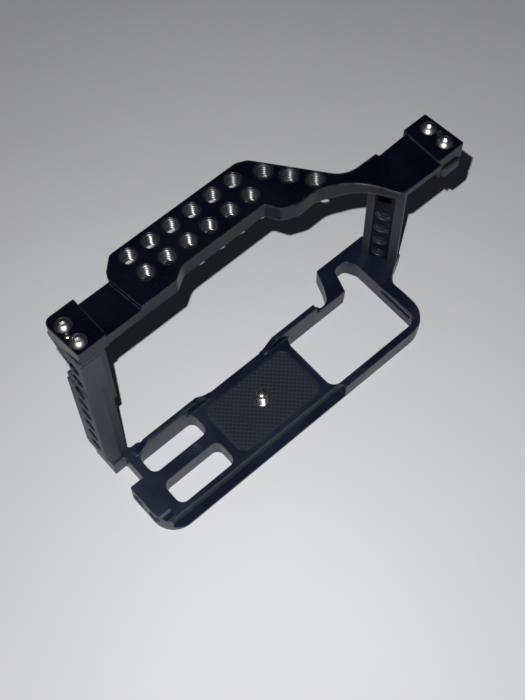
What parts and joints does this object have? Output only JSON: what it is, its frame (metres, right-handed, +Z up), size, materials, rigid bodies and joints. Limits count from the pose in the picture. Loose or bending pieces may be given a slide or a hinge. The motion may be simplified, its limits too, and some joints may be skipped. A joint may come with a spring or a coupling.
{
  "type": "camera cage",
  "caption": "Black machined camera cage: open frame of base plate, two uprights and a wavy top plate with threaded holes; captive camera screw in a rubber pad.",
  "frame": {"origin": "on the axis of the camera screw, in the plane of the pad that the camera rests on", "axes": "+X toward the battery side, +Y toward the lens side, +Z up, along the camera screw"},
  "size_m": [0.1675, 0.0647, 0.1137],
  "materials": {
    "base_metal": "black anodised, satin",
    "upright_metal": "black anodised, satin",
    "top_metal": "black anodised, satin",
    "pad_rubber": "matte with a fine crosshatch",
    "adhesive": "thin pale film",
    "camera_screw_steel": "turned stainless",
    "washer_steel": "plain stainless",
    "ring_steel": "spring steel",
    "dark_steel": "black oxide",
    "screw_steel": "polished stainless",
    "pin_steel": "ground steel"
  },
  "bodies": {
    "cage": {"base_plate": "base_metal", "base_pad": "pad_rubber", "pad_adhesive": "adhesive", "slot_bar_screw": "dark_steel", "left_upright": "upright_metal", "left_foot_screws": "screw_steel", "left_foot_pins": "pin_steel", "right_upright": "upright_metal", "right_foot_screws": "screw_steel", "right_foot_pins": "pin_steel", "top_plate": "top_metal", "top_left_screws": "screw_steel", "top_right_screws": "screw_steel", "top_left_pin": "pin_steel", "top_right_pin": "pin_steel"},
    "screw_carrier": {"screw_washer": "washer_steel"},
    "captive_screw": {"camera_screw": "camera_screw_steel", "screw_ring": "ring_steel"}
  },
  "joints": [
    {"name": "screw_lift", "type": "slide", "parent": "cage", "child": "screw_carrier", "axis": [0, 0, 1], "range_m": [0, 0.0009]},
    {"name": "screw_spin", "type": "hinge", "parent": "screw_carrier", "child": "captive_screw", "pos_m": [0, 0, 0], "axis": [0, 0, 1], "continuous": true}
  ]
}
